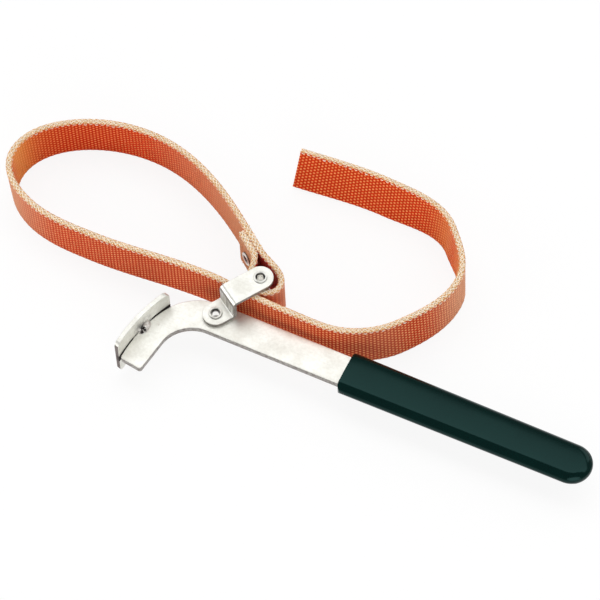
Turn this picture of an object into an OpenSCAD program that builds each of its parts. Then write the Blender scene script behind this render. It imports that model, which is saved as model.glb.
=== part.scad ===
// Strap wrench for oil filters: a flat hooked bar with a dipped grip, a pair of stepped link
// plates that swing on the bar, and a webbing strap that is looped round the links' pin,
// runs round the filter and comes back out between the pin and the bar.
// Millimetres. Origin: on the axis of the bar rivet, at mid-thickness of the bar.
// +X along the bar towards the grip, +Y towards the strap, +Z along the rivets.

/* [Handle bar] */
// Width of the flat bar
bar_w = 16.4; // [14:0.2:20]
// Thickness of the flat bar
bar_t = 3.5; // [2.5:0.1:5]
// Rivet axis to the rear edge of the bar
rivet_edge = 6.8; // [6:0.1:8]
// Rivet axis to the centre of the bar's round end
handle_len = 190; // [150:1:240]
// Rivet axis to the start of the hook's hollow side
hook_at = 0.5; // [0:0.1:2]
// Radius of the hook on its hollow side
hook_r = 17; // [12:0.5:22]
// Angle that the hook turns through
hook_angle = 82; // [75:1:90]
// Straight inner edge of the nose, past the hook
nose_len = 18.5; // [16:0.5:24]
// Width of the nose at its end
nose_w = 12; // [10:0.2:13]
// Rounding of the nose's corners
nose_corner = 1.5; // [0.5:0.1:2.5]

/* [Shoe] */
// Length of the curved shoe plate
shoe_len = 38.5; // [32:0.5:44]
// Height of the shoe plate, along the rivets
shoe_h = 24.5; // [18:0.5:28]
// Thickness of the shoe plate
shoe_t = 2.4; // [1.5:0.1:3.5]
// Radius of the shoe's inner face
shoe_r = 90; // [80:1:110]
// Middle of the shoe past the weld, towards the nose
shoe_shift = 1; // [0:0.5:3]
// Rounding of the shoe's corners
shoe_corner = 3; // [1:0.5:5]
// Nose's outer corner to the weld, along the shoe
weld_at = 20; // [17:0.5:23]
// Size of the weld between the shoe and the bar
weld_r = 2.8; // [1.5:0.1:3.5]

/* [Grip] */
// Rivet axis to the start of the grip
grip_start = 71; // [60:1:90]
// Coating on the bar's edges
grip_side = 2.4; // [1.5:0.1:4]
// Coating on the bar's flat faces
grip_skin = 2.3; // [1.5:0.1:4]
// Extra width on each side at the grip's start
grip_flare = 0.85; // [0:0.05:1.5]
// Rounding of the grip's corners at its start
grip_corner = 3; // [1:0.5:5]

/* [Links] */
// Bar rivet to strap pin
link_len = 26; // [24:0.5:32]
// Direction of the links from the bar, in degrees
link_angle = 57; // [50:1:65]
// Width of a link plate
link_w = 13; // [11:0.5:15]
// Thickness of a link plate
link_t = 2; // [1.5:0.1:3]
// Bar rivet to the outer face of the step in the plate
step_at = 6.5; // [6:0.1:7]
// Inside radius of the plate's bends
bend_r = 0.8; // [0.4:0.1:1.5]

/* [Rivets] */
// Bore of the hollow rivets through the links
rivet_bore_r = 2.25; // [1.8:0.05:2.5]
// Wall of the hollow rivets
rivet_wall = 0.5; // [0.3:0.05:0.8]
// Radius of the rolled flanges on the links
rivet_flange_r = 3.4; // [3:0.1:4.2]
// Bore of the hollow rivet through the strap
strap_rivet_bore_r = 2.3; // [1.5:0.05:2.8]
// Radius of the strap rivet's flanges
strap_rivet_flange_r = 3.75; // [3:0.05:4.5]
// Height of a flange below its rolled crown
flange_base = 0.3; // [0.1:0.05:0.6]
// Radius of the spacer sleeve on the strap pin
sleeve_r = 4; // [3.6:0.1:4.5]

/* [Strap] */
// Width of the webbing
strap_w = 25; // [20:0.5:30]
// Thickness of the webbing
strap_t = 3.2; // [2:0.1:4]
// Strap pin to the far left of the loop
loop_len = 147; // [120:1:180]
// Width of the loop, across the bar
loop_w = 65.5; // [55:0.5:90]
// Inside reach of the eye beyond the pin, on the side away from the loop
eye_reach = 8.3; // [6:0.1:10]
// Strap pin back to the strap rivet, along the bar
lap_back = 12.2; // [10:0.1:15]
// Strap pin up to the strap rivet, across the bar
lap_up = 18.9; // [17:0.1:22]
// Direction of the strap at its rivet, in degrees
lap_heading = 143; // [135:1:150]
// Strap rivet to the folded end
lap_end = 8.4; // [6:0.1:12]
// Rivet axis to the far right of the free tail
tail_reach = 101; // [80:1:130]
// Width of the curl in the free tail
tail_w = 88.5; // [70:0.5:110]
// Lean of the strap at its free end, in degrees
tail_lean = 17; // [0:1:20]
// Slant of the cut at the free end, in degrees
end_slant = 5; // [0:1:10]

/* [Clearances] */
// Radial clearance of the links on the bar rivet
pivot_clear = 0.05; // [0.02:0.01:0.1]
// Gap between the links, the bar and the bar rivet's flanges
face_clear = 0.15; // [0.1:0.05:0.4]
// Gap between the strap's edges and the links
edge_clear = 0.4; // [0.3:0.05:1]
// Gap between the strap's eye and the sleeve
eye_clear = 0.3; // [0.2:0.05:0.6]
// Gap between neighbouring layers of the strap
layer_gap = 0.2; // [0.1:0.05:0.5]
// Gap between the strap's tail and the bar
tail_clear = 3.3; // [2:0.1:6]
// Gap between the bar and the shoe at the weld
shoe_gap = 0.05; // [0.02:0.01:0.1]
// Gap between the shoe and the nose's outer corner
nose_gap = 0.3; // [0.1:0.05:0.6]
// Gap between the shoe and the bar's back, above the weld
back_gap = 0.9; // [0.6:0.1:1.5]
// Gap between the strap rivet and the webbing
strap_fit = 0.05; // [0.02:0.01:0.1]
// Radial gap between the sleeve and the strap pin
sleeve_fit = 0.05; // [0.02:0.01:0.1]

/* [Hidden] */

$fn = 180;
steel = [0.86, 0.86, 0.83];
weld_grey = [0.66, 0.64, 0.62];
green = [0.03, 0.15, 0.13];
orange = [0.78, 0.26, 0.11];

// Bar: rear edge, centre line and the points of the hook
bar_mid = rivet_edge - bar_w / 2;
bar_front = rivet_edge - bar_w;
hook_heading = 180 + hook_angle;
hook_centre = [-hook_at, bar_front - hook_r];
hook_end = hook_centre + hook_r * dir(hook_heading - 90);
nose_in = hook_end + nose_len * dir(hook_heading);
nose_out = nose_in + nose_w * dir(hook_heading - 90);

// Shoe: the seat is the place on the hook's back where the shoe is welded on. The back follows
// the shoe's curve from the nose to the seat, and bends away from it above the seat
seat_turn = 6.5;
back_turn = 11;
back_bend = 8;
seat_heading = hook_heading - seat_turn;
shoe_out = seat_heading - 90;
seat_bow = shoe_r - sqrt(pow(shoe_r, 2) - pow(weld_at, 2));
seat = nose_out - weld_at * dir(seat_heading) + (seat_bow + nose_gap) * dir(shoe_out);
shoe_centre = seat + (shoe_gap - shoe_r) * dir(shoe_out);
back = shoe_centre + (shoe_r - back_gap) * dir(shoe_out - back_turn);
hook_back = [
    [0, rivet_edge, 180],
    [back[0], back[1], seat_heading - back_turn - back_bend],
    [seat[0], seat[1], seat_heading],
    [nose_out[0], nose_out[1], seat_heading + asin(weld_at / shoe_r)]
];
hook_steps = 24;
corner_steps = 8;

// Grip
grip_w = bar_w + 2 * grip_side;
grip_t = bar_t + 2 * grip_skin;

// Links: heights of the foot on the bar and of the plate above the strap
foot_z = bar_t / 2 + face_clear;
plate_z = strap_w / 2 + edge_clear;
pin = link_len * dir(link_angle);
rivet_r = rivet_bore_r + rivet_wall;
strap_rivet_r = strap_rivet_bore_r + rivet_wall;

// The lowest point of the pin: the sagging strap lies on the same level
floor_z = -(plate_z + link_t + flange_base + (rivet_flange_r - rivet_bore_r) / 2);

// Strap route. Each node is [x, y, heading, share of the sag, lean, slant of its rulings];
// a positive lean tips the upper edge to the left of the route
edge_chamfer = 0.7;
step_angle = 6;
step_len = 8;
lap_margin = 0.5;
lap_lead = 2;
eye_enter = 206;
eye_rise = 0.7;
eye_heading = 88;
pass_rise = 2;
pass_heading = 359;
pin_heading = 356;
sweep_margin = 3;
eye_r = sleeve_r + eye_clear + strap_t / 2;
lap_dir = dir(lap_heading);
lap_in = dir(lap_heading + 90);
lap_rivet = pin + [-lap_back, lap_up];
lap_shift = strap_t + layer_gap;
straight = strap_rivet_flange_r + lap_margin;
pass_y = pin[1] - eye_r - strap_t - layer_gap;
tail_y = rivet_edge + tail_clear + strap_t / 2;
link_sweep = norm([link_len - step_at, link_w / 2]) + sweep_margin;

lap_nodes = [
    flat_node(lap_rivet + lap_shift * lap_in + lap_end * lap_dir, lap_heading - 180),
    flat_node(lap_rivet + lap_shift * lap_in - straight * lap_dir, lap_heading - 180),
    flat_node(pin + eye_r * dir(eye_enter), eye_enter - 270),
    flat_node(pin - [0, eye_r], 0),
    flat_node(pin + [eye_reach + strap_t / 2, eye_rise], eye_heading),
    flat_node(lap_rivet - straight * lap_dir, lap_heading),
    flat_node(lap_rivet + (lap_end + lap_lead) * lap_dir, lap_heading)
];
loop_nodes = [
    loop_node(0.39, 0.88, 157, 0.5, 0),
    loop_node(0.61, 1, 180, 1, 0),
    loop_node(0.85, 0.87, 208, 1, 0),
    loop_node(1, 0.43, 269, 1, -0.2),
    loop_node(0.85, 0.06, 340, 1, 0),
    loop_node(0.61, 0, 360, 1, 0)
];
pass_nodes = [
    flat_node([pin[0] - link_sweep, pass_y + pass_rise], pass_heading),
    flat_node([pin[0], pass_y], pin_heading),
    flat_node([pin[0] + link_sweep, tail_y], pass_heading)
];
tail_nodes = [
    tail_node(0.61, 0.02, 376, 0.6, 0.2, 0),
    tail_node(0.85, 0.21, 412, 1, 0.35, 0),
    tail_node(1, 0.62, 454, 1, 0.1, 0),
    tail_node(0.845, 0.89, 492, 1, -0.3, 0),
    tail_node(0.45, 1, 537, 1, -0.9, 0),
    tail_node(-0.03, 0.97, 544, 1, -1, end_slant)
];
route = concat(lap_nodes, loop_nodes, pass_nodes, tail_nodes);
strap_rings = curve(route);

// Directions and smooth curves
function dir(a) = [cos(a), sin(a)];
function xy(p) = [p[0], p[1]];
function smooth(t) = t * t * (3 - 2 * t);
function arc(centre, r, from, to, steps) =
    [for (i = [0 : steps]) centre + r * dir(from + (to - from) * i / steps)];
function flat_node(p, heading) = [p[0], p[1], heading, 0, 0, 0];
function loop_node(along, across, heading, sag, lean) =
    [pin[0] - loop_len * along, pass_y + loop_w * across, heading, sag, lean * tail_lean, 0];
function tail_node(along, across, heading, sag, lean, slant) =
    [tail_reach * along, tail_y + tail_w * across, heading, sag, lean * tail_lean, slant];

// A span between two nodes is a cubic whose handles suit a round arc of the same turn
function span_steps(a, b) =
    max(ceil(abs(b[2] - a[2]) / step_angle), ceil(norm(xy(b) - xy(a)) / step_len));
function handle(a, b) = norm(xy(b) - xy(a)) / (3 * pow(cos((b[2] - a[2]) / 4), 2));
function cubic(p, t) =
    pow(1 - t, 3) * p[0] + 3 * t * pow(1 - t, 2) * p[1]
    + 3 * t * t * (1 - t) * p[2] + pow(t, 3) * p[3];
function cubic_slope(p, t) =
    pow(1 - t, 2) * (p[1] - p[0]) + 2 * t * (1 - t) * (p[2] - p[1]) + t * t * (p[3] - p[2]);
function span_controls(a, b) =
    let (h = handle(a, b))
    [xy(a), xy(a) + h * dir(a[2]), xy(b) - h * dir(b[2]), xy(b)];

// Stations along a list of nodes: [point, unit direction, the nodes' other values between them]
function station(a, b, t) =
    let (
        p = span_controls(a, b),
        slope = cubic_slope(p, t),
        others = [for (i = [3 : 1 : len(a) - 1]) a[i] + (b[i] - a[i]) * smooth(t)]
    )
    [cubic(p, t), slope / norm(slope), others];
function curve(nodes) = [
    for (i = [0 : len(nodes) - 2])
        let (n = span_steps(nodes[i], nodes[i + 1]))
        for (k = [0 : i == len(nodes) - 2 ? n : n - 1])
            station(nodes[i], nodes[i + 1], k / n)
];

// One ring of the strap: a flat section with eased edges, square to the route
function strap_ring(s) =
    let (
        run = [s[1][0], s[1][1], 0],
        left = [-run[1], run[0], 0],
        sag = s[2][0],
        lean = s[2][1],
        rise = cos(lean) * [0, 0, 1] + sin(lean) * left,
        side = cos(lean) * left - sin(lean) * [0, 0, 1],
        ruling = rise - tan(s[2][2]) * run,
        lift = strap_w / 2 * rise[2] + strap_t / 2 * abs(side[2]),
        centre = [s[0][0], s[0][1], sag * (floor_z + lift)],
        a = strap_w / 2,
        b = strap_t / 2,
        c = a - edge_chamfer,
        d = b - edge_chamfer,
        section = [[-c, -b], [c, -b], [a, -d], [a, d], [c, b], [-c, b], [-a, d], [-a, -d]]
    )
    [for (q = section) centre + q[0] * ruling + q[1] * side];

// A solid through rings that all have the same number of points
module skin(rings) {
    n = len(rings[0]);
    last = len(rings) - 1;
    sides = [
        for (i = [0 : last - 1])
            for (k = [0 : n - 1])
                let (
                    j = (k + 1) % n,
                    here = i * n,
                    next = here + n
                )
                each [[here + k, here + j, next + j], [here + k, next + j, next + k]]
    ];
    start = [[for (k = [n - 1 : -1 : 0]) k]];
    end = [[for (k = [0 : n - 1]) last * n + k]];
    polyhedron([for (r = rings) each r], concat(start, sides, end));
}

// A hollow rivet on the Z axis with a rolled flange on both ends of its grip length
module hollow_rivet(grip_len, bore_r, flange_r) {
    crown_r = (flange_r - bore_r) / 2;
    rotate_extrude() {
        translate([bore_r, -grip_len / 2 - flange_base])
            square([rivet_wall, grip_len + 2 * flange_base]);
        for (end = [-1, 1]) {
            translate([bore_r, end * (grip_len / 2 + flange_base / 2) - flange_base / 2])
                square([2 * crown_r, flange_base]);
            translate([bore_r + crown_r, end * (grip_len / 2 + flange_base)])
                intersection() {
                    circle(r = crown_r);
                    translate([-crown_r, (end - 1) / 2 * crown_r])
                        square([2 * crown_r, crown_r]);
                }
        }
    }
}

module rounded_rect(length, height, corner) {
    square([length - 2 * corner, height], center = true);
    square([length, height - 2 * corner], center = true);
    for (x = [-1, 1], y = [-1, 1])
        translate([x * (length / 2 - corner), y * (height / 2 - corner)])
            circle(r = corner);
}

// Plan of the bar: straight with a round end, then the hook and its nose
module bar_plan() {
    outer = [for (s = curve(hook_back)) s[0]];
    last = len(outer) - 1;
    up_back = (outer[last - 1] - nose_out) / norm(outer[last - 1] - nose_out);
    up_front = dir(hook_heading + 180);
    across = dir(hook_heading + 90);
    half = acos(up_back * across) / 2;
    out_centre = nose_out + nose_corner / sin(half) * dir(hook_heading + 90 + half);
    in_centre = nose_in + nose_corner * (up_front - across);
    polygon(concat(
        [[handle_len, rivet_edge]],
        [for (i = [0 : last - 1]) outer[i]],
        arc(out_centre, nose_corner, hook_heading + 2 * half - 180, hook_heading, corner_steps),
        arc(in_centre, nose_corner, hook_heading, hook_heading + 90, corner_steps),
        arc(hook_centre, hook_r, hook_heading - 90, 90, hook_steps),
        [[handle_len, bar_front]]
    ));
    translate([handle_len, bar_mid])
        circle(d = bar_w);
}

module bar_blank() {
    translate([0, 0, -bar_t / 2])
        linear_extrude(height = bar_t)
            bar_plan();
}

module handle_bar() {
    color(steel)
        difference() {
            bar_blank();
            cylinder(r = rivet_r, h = 2 * bar_t, center = true);
        }
}

// Places its children with +X out of the shoe's face and the shoe's centre of curvature at 0
module at_shoe() {
    translate([shoe_centre[0], shoe_centre[1], 0])
        rotate([0, 0, shoe_out])
            children();
}

module shoe() {
    color(steel)
        at_shoe()
            intersection() {
                difference() {
                    cylinder(r = shoe_r + shoe_t, h = shoe_h, center = true);
                    cylinder(r = shoe_r, h = 2 * shoe_h, center = true);
                }
                translate([shoe_r / 2, shoe_shift, 0])
                    rotate([90, 0, 90])
                        linear_extrude(height = shoe_r)
                            rounded_rect(shoe_len, shoe_h, shoe_corner);
            }
}

// Lumpy fillet in the corner between the bar's flat face and the shoe
module weld_bead() {
    bar_face = bar_t / 2;
    sink = weld_r / 8;
    lumps = [[-0.8, 0.8], [0, 1], [0.7, 0.75]];
    intersection() {
        at_shoe()
            for (l = lumps)
                translate([shoe_r - sink, l[0] * weld_r, bar_face - sink])
                    sphere(r = l[1] * weld_r);
        at_shoe()
            translate([0, 0, bar_face])
                cylinder(r = shoe_r, h = 2 * weld_r);
    }
}

module upper_weld() {
    color(weld_grey)
        weld_bead();
}

module lower_weld() {
    color(weld_grey)
        mirror([0, 0, 1])
            weld_bead();
}

// Cross-section of the grip: a flat with full round edges
module grip_section() {
    square([grip_w - grip_t, grip_t], center = true);
    for (side = [-1, 1])
        translate([side * (grip_w - grip_t) / 2, 0])
            circle(d = grip_t);
}

// The section on one side of its middle, and as much more as is asked for
module grip_half(past_middle) {
    intersection() {
        grip_section();
        translate([-past_middle, -grip_t])
            square([grip_w, 2 * grip_t]);
    }
}

// The grip before its corners and the bar's place are cut: two halves that spread towards its
// start, with a full round end
module grip_blank() {
    run = handle_len - grip_start;
    translate([handle_len, bar_mid, 0]) {
        for (side = [0, 1])
            mirror([0, side, 0])
                rotate([0, 0, -atan(grip_flare / run)])
                    translate([-run - grip_t, 0, 0])
                        rotate([90, 0, 90])
                            linear_extrude(height = run + grip_t)
                                grip_half(past_middle = grip_w / 4);
        rotate_extrude()
            grip_half(past_middle = 0);
    }
}

module grip() {
    whole = handle_len - grip_start + grip_w;
    color(green)
        difference() {
            intersection() {
                grip_blank();
                translate([grip_start + whole / 2, bar_mid, -grip_t])
                    linear_extrude(height = 2 * grip_t)
                        rounded_rect(whole, grip_w + 2 * grip_flare, grip_corner);
            }
            bar_blank();
        }
}

module bar_rivet() {
    color(steel)
        hollow_rivet(2 * (foot_z + link_t + face_clear), rivet_bore_r, rivet_flange_r);
}

module quarter_bend() {
    intersection() {
        difference() {
            circle(r = bend_r + link_t);
            circle(r = bend_r);
        }
        square(bend_r + link_t);
    }
}

// Side view of a link plate: foot on the bar, step, and plate beside the strap
module link_profile() {
    foot_bend = [step_at - bend_r, foot_z + link_t + bend_r];
    plate_bend = [step_at + link_t + bend_r, plate_z - bend_r];
    translate([-link_w / 2, foot_z])
        square([foot_bend[0] + link_w / 2, link_t]);
    translate(foot_bend)
        rotate(-90)
            quarter_bend();
    translate([step_at, foot_bend[1]])
        square([link_t, plate_bend[1] - foot_bend[1]]);
    translate(plate_bend)
        rotate(90)
            quarter_bend();
    translate([plate_bend[0], plate_z])
        square([link_len + link_w / 2 - plate_bend[0], link_t]);
}

module link_plate() {
    rotate([0, 0, link_angle])
        difference() {
            intersection() {
                rotate([90, 0, 0])
                    linear_extrude(height = 2 * link_w, center = true)
                        link_profile();
                linear_extrude(height = strap_w) {
                    translate([0, -link_w / 2])
                        square([link_len, link_w]);
                    for (u = [0, link_len])
                        translate([u, 0])
                            circle(d = link_w);
                }
            }
            cylinder(r = rivet_r + pivot_clear, h = plate_z);
            translate([link_len, 0, 0])
                cylinder(r = rivet_r, h = strap_w);
        }
}

module upper_link() {
    color(steel)
        link_plate();
}

module lower_link() {
    color(steel)
        mirror([0, 0, 1])
            link_plate();
}

module at_pin() {
    translate([pin[0], pin[1], 0])
        children();
}

module strap_pin() {
    color(steel)
        at_pin()
            hollow_rivet(2 * (plate_z + link_t), rivet_bore_r, rivet_flange_r);
}

module pin_sleeve() {
    color(steel)
        at_pin()
            difference() {
                cylinder(r = sleeve_r, h = 2 * plate_z, center = true);
                cylinder(r = rivet_r + sleeve_fit, h = 2 * strap_w, center = true);
            }
}

// Places its children with +Z through both layers of the lap, at the middle between them
module at_lap() {
    middle = lap_rivet + lap_shift / 2 * lap_in;
    translate([middle[0], middle[1], 0])
        rotate([0, 90, lap_heading + 90])
            children();
}

module strap() {
    color(orange)
        difference() {
            skin([for (s = strap_rings) strap_ring(s)]);
            at_lap()
                cylinder(r = strap_rivet_r + strap_fit, h = 4 * strap_t, center = true);
        }
}

module strap_rivet() {
    color(steel)
        at_lap()
            hollow_rivet(lap_shift + strap_t + 2 * strap_fit, strap_rivet_bore_r, strap_rivet_flange_r);
}

handle_bar();
shoe();
upper_weld();
lower_weld();
grip();
bar_rivet();
upper_link();
lower_link();
strap_pin();
pin_sleeve();
strap();
strap_rivet();
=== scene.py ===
import math

import bmesh
import bpy
import numpy as np
from mathutils import Matrix, Vector


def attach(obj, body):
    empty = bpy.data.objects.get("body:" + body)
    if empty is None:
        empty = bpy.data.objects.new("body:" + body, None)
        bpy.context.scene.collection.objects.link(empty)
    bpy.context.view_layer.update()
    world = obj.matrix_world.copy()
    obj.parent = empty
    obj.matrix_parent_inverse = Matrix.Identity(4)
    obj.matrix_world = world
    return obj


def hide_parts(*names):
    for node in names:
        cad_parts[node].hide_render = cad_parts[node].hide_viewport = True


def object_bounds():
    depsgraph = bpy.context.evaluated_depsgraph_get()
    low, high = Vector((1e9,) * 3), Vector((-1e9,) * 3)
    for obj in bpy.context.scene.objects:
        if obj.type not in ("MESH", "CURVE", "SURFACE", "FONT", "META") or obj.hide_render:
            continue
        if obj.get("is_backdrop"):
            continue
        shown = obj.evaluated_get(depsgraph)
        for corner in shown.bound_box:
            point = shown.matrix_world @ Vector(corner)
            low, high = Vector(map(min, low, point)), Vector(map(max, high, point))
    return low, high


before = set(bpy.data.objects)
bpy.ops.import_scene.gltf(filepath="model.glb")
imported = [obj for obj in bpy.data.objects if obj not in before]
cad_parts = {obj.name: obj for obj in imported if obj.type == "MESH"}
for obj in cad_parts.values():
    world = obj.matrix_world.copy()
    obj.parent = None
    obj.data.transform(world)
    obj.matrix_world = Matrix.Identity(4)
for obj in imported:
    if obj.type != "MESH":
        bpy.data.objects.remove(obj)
cad_low, cad_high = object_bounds()
MM = 0.001
MERGE_REACH, SLICE_REACH = 2e-6, 1e-6


# Sizes that the CAD part has too, in millimetres and degrees

RIVET_EDGE, BAR_HALF_T = 6.8, 1.75
SHOE_CENTRE, SHOE_MIDDLE_R = Vector((57.83, -43.40, 0)), 91.2
GRIP_START, GRIP_TURN, GRIP_MIDDLE = 71.0, 190.0, -1.4
GRIP_START_HALF_W, GRIP_FLARE = 11.45, 0.85
LINK_LEN, LINK_ANGLE, LINK_W, LINK_T, STEP_AT = 26.0, 57, 13.0, 2.0, 6.5
RIVET_BORE_R, RIVET_FLANGE_R = 2.25, 3.4
STRAP_RIVET_BORE_R, STRAP_RIVET_FLANGE_R = 2.3, 3.75
RIVET_WALL, FLANGE_BASE = 0.5, 0.3
BAR_RIVET_LEN, STRAP_PIN_LEN, STRAP_RIVET_PLAY = 8.1, 29.8, 0.1
SLEEVE_R = 4.0
STRAP_W, STRAP_T = 25.0, 3.2
EDGE_CLEAR, EYE_CLEAR, LAYER_GAP, TAIL_CLEAR = 0.4, 0.3, 0.2, 3.3
EYE_ENTER, EYE_REACH, EYE_RISE, EYE_HEADING = 206, 8.3, 0.7, 88
LAP_BACK, LAP_UP, LAP_HEADING, LAP_END = 12.2, 18.9, 143, 8.4
LAP_MARGIN, LAP_LEAD = 0.5, 2
LOOP_LEN, LOOP_W = 147, 65.5
PASS_RISE, PASS_HEADING, PIN_HEADING, SWEEP_MARGIN = 2, 359, 356, 3
TAIL_REACH, TAIL_W, TAIL_LEAN, END_SLANT = 101, 88.5, 17, 5

# Sizes of the weave and of the braided edges, in millimetres

CORD_PITCH, CROWN_PITCH = 1.77, 2.0
FACE_OUT, CROWN_UP, BETWEEN_UP, GROOVE_UP = 1.42, 0.16, 0.05, 0.03
FIRST_ROW, LAST_ROW = -12, 12
CUT_EDGE_POINTS = [(12.22, 0.95), (12.34, 0.33), (12.34, -0.33), (12.22, -0.95)]
CROWN_LONG, CROWN_WIDE, TAIL_STARTS = 0.42, 0.31, (300.0, 420.0)
FACE_BORDER, LOWER_EXTRA, TOOTH_PITCH, TOOTH_DEPTH = 12.35, 0.7, 2.3, 1.1
PUNCH_R, PUNCH_LEN = 2.86, 13
BRAID_AT, YARN_PITCH, ZIGZAG_PITCH = 12.2, 1.32, 2.9

# Places that finishes read, in metres: the weld's soot, the painted shade in its pit, and the gap between
# the shoe and the bar, whose shade is painted

SOOT_PLACE, SOOT_REACH = (-0.0285, -0.0205, 0.0030), 0.0085
PIT_SHADE_PLACE, PIT_SHADE_REACH = (-0.0293, -0.0229, 0.0024), 0.0031
FAR_GAP_START, FAR_GAP_EDGE = (-0.0156, -0.0146), (0.0023, 0.0027)
NEAR_GAP_START, NEAR_GAP_EDGE = (-0.0292, -0.0282), (0.0021, 0.0025)


# Small helpers for meshes and objects

def add_object(name, mesh):
    piece = bpy.data.objects.new(name, mesh)
    bpy.context.scene.collection.objects.link(piece)
    return piece


def mesh_of(name, points_mm, faces):
    mesh = bpy.data.meshes.new(name)
    points = np.asarray(points_mm, float) * MM
    mesh.from_pydata([tuple(p) for p in points], [], [tuple(f) for f in faces])
    mesh.update()
    return mesh


def open_shape(mesh):
    shape = bmesh.new()
    shape.from_mesh(mesh)
    return shape


def close_shape(shape, mesh):
    shape.to_mesh(mesh)
    shape.free()


def merged_copy(node, name):
    """A CAD node's mesh under a new name, and its shape with the loose triangles merged."""
    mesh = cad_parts[node].data.copy()
    mesh.name = name
    shape = open_shape(mesh)
    bmesh.ops.remove_doubles(shape, verts=shape.verts, dist=MERGE_REACH)
    return mesh, shape


def face_outwards(mesh):
    shape = open_shape(mesh)
    bmesh.ops.recalc_face_normals(shape, faces=shape.faces)
    close_shape(shape, mesh)


def smooth_shading(mesh, sharp_angle=None):
    """Smooth faces by the mesh's own normals, with sharp edges past the angle if one is given."""
    if "custom_normal" in mesh.attributes:
        mesh.attributes.remove(mesh.attributes["custom_normal"])
    mesh.polygons.foreach_set("use_smooth", np.ones(len(mesh.polygons), bool))
    if sharp_angle is not None:
        mesh.set_sharp_from_angle(angle=math.radians(sharp_angle))
    mesh.update()


def mark(mesh, label, values, kind="FLOAT", domain="POINT"):
    """Keeps a value for each point or face under a name, for a finish or a node tree to read."""
    field = "value" if kind == "FLOAT" else "vector"
    marks = mesh.attributes.new(label, kind, domain)
    marks.data.foreach_set(field, np.array(values, np.float32).ravel())


def baked(piece):
    """The piece with its modifiers made part of its mesh."""
    graph = bpy.context.evaluated_depsgraph_get()
    shown = piece.evaluated_get(graph)
    mesh = bpy.data.meshes.new_from_object(shown, preserve_all_data_layers=True, depsgraph=graph)
    piece.modifiers.clear()
    old = piece.data
    piece.data = mesh
    mesh.name = piece.name
    if old.users == 0:
        bpy.data.meshes.remove(old)
    return piece


def paint(piece, material):
    piece.data.materials.clear()
    piece.data.materials.append(material)


def finish_piece(piece, body, slot, *nodes):
    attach(piece, body)
    if nodes:
        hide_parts(*nodes)


def share_between(value, low, high):
    """0 below low, 1 above high, even between them."""
    return min(1.0, max(0.0, (value - low) / (high - low)))


def heading(degrees):
    return np.array([math.cos(math.radians(degrees)), math.sin(math.radians(degrees))])


def at_place(x, y):
    return Matrix.Translation(Vector((x, y, 0)) * MM)


# Small helpers for node trees

class Field:
    """A node's output, which is added, multiplied and compared like a number."""

    def __init__(self, tree, socket):
        self.tree, self.socket = tree, socket

    def __add__(self, other):
        return calc("ADD", self, other)

    def __sub__(self, other):
        return calc("SUBTRACT", self, other)

    def __rsub__(self, other):
        return calc("SUBTRACT", other, self)

    def __mul__(self, other):
        return calc("MULTIPLY", self, other)

    def __truediv__(self, other):
        return calc("DIVIDE", self, other)

    def __mod__(self, other):
        return calc("FLOORED_MODULO", self, other)

    def __pow__(self, other):
        return calc("POWER", self, other)

    def __gt__(self, other):
        return calc("GREATER_THAN", self, other)

    def __lt__(self, other):
        return calc("LESS_THAN", self, other)

    def __abs__(self):
        return calc("ABSOLUTE", self)

    def ease(self, low, high):
        """0 below low, 1 above high, smooth between them."""
        values = {"Value": self, "From Min": low, "From Max": high}
        return made(self.tree, "ShaderNodeMapRange", values, "Result", interpolation_type="SMOOTHSTEP")


def feed(socket, value):
    """Links a field to an input socket, or sets the socket to a plain value."""
    if isinstance(value, Field):
        value.tree.links.new(value.socket, socket)
    else:
        socket.default_value = value


def put(tree, kind, values=None, **settings):
    """Adds a node with these settings and inputs."""
    n = tree.nodes.new(kind)
    for key, value in settings.items():
        setattr(n, key, value)
    for key, value in (values or {}).items():
        feed(n.inputs[key], value)
    return n


def made(tree, kind, values=None, output=0, **settings):
    """Adds a node and gives one of its outputs."""
    return Field(tree, put(tree, kind, values, **settings).outputs[output])


def calc(operation, *terms, clamp=False):
    tree = next(t.tree for t in terms if isinstance(t, Field))
    return made(tree, "ShaderNodeMath", dict(enumerate(terms)), operation=operation, use_clamp=clamp)


def larger(a, b):
    return calc("MAXIMUM", a, b)


def vector_of(tree, x, y, z):
    return made(tree, "ShaderNodeCombineXYZ", {"X": x, "Y": y, "Z": z})


def parts_of(vector):
    n = put(vector.tree, "ShaderNodeSeparateXYZ", {"Vector": vector})
    return [Field(vector.tree, s) for s in n.outputs]


def vector_calc(operation, a, b):
    return made(a.tree, "ShaderNodeVectorMath", {0: a, 1: b}, "Value", operation=operation)


def place_on(tree):
    return made(tree, "ShaderNodeTexCoord", output="Object")


def attribute(tree, label):
    return made(tree, "ShaderNodeAttribute", output="Fac", attribute_name=label)


def noise(place, scale, detail, **more):
    values = {"Vector": place, "Scale": scale, "Detail": detail, **more}
    return made(place.tree, "ShaderNodeTexNoise", values, "Fac")


def stretched(place, x, y, z):
    return made(place.tree, "ShaderNodeMapping", {"Vector": place, "Scale": (x, y, z)})


def bump(height, strength, distance):
    values = {"Height": height, "Strength": strength, "Distance": distance}
    return made(height.tree, "ShaderNodeBump", values)


def blend(share, a, b):
    """Colour a where the share is 0, colour b where it is 1."""
    n = put(share.tree, "ShaderNodeMix", data_type="RGBA")
    inputs = {s.identifier: s for s in n.inputs}
    for key, value in (("Factor_Float", share), ("A_Color", a), ("B_Color", b)):
        feed(inputs[key], value)
    return Field(share.tree, next(s for s in n.outputs if s.identifier == "Result_Color"))


def rgb(r, g, b):
    """A colour given as 0 to 255 on the screen, as linear light."""
    screen = [c / 255 for c in (r, g, b)]
    return tuple(c / 12.92 if c <= 0.0393 else ((c + 0.055) / 1.055) ** 2.4 for c in screen) + (1.0,)


def grey(level):
    return (level, level, level, 1.0)


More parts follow.
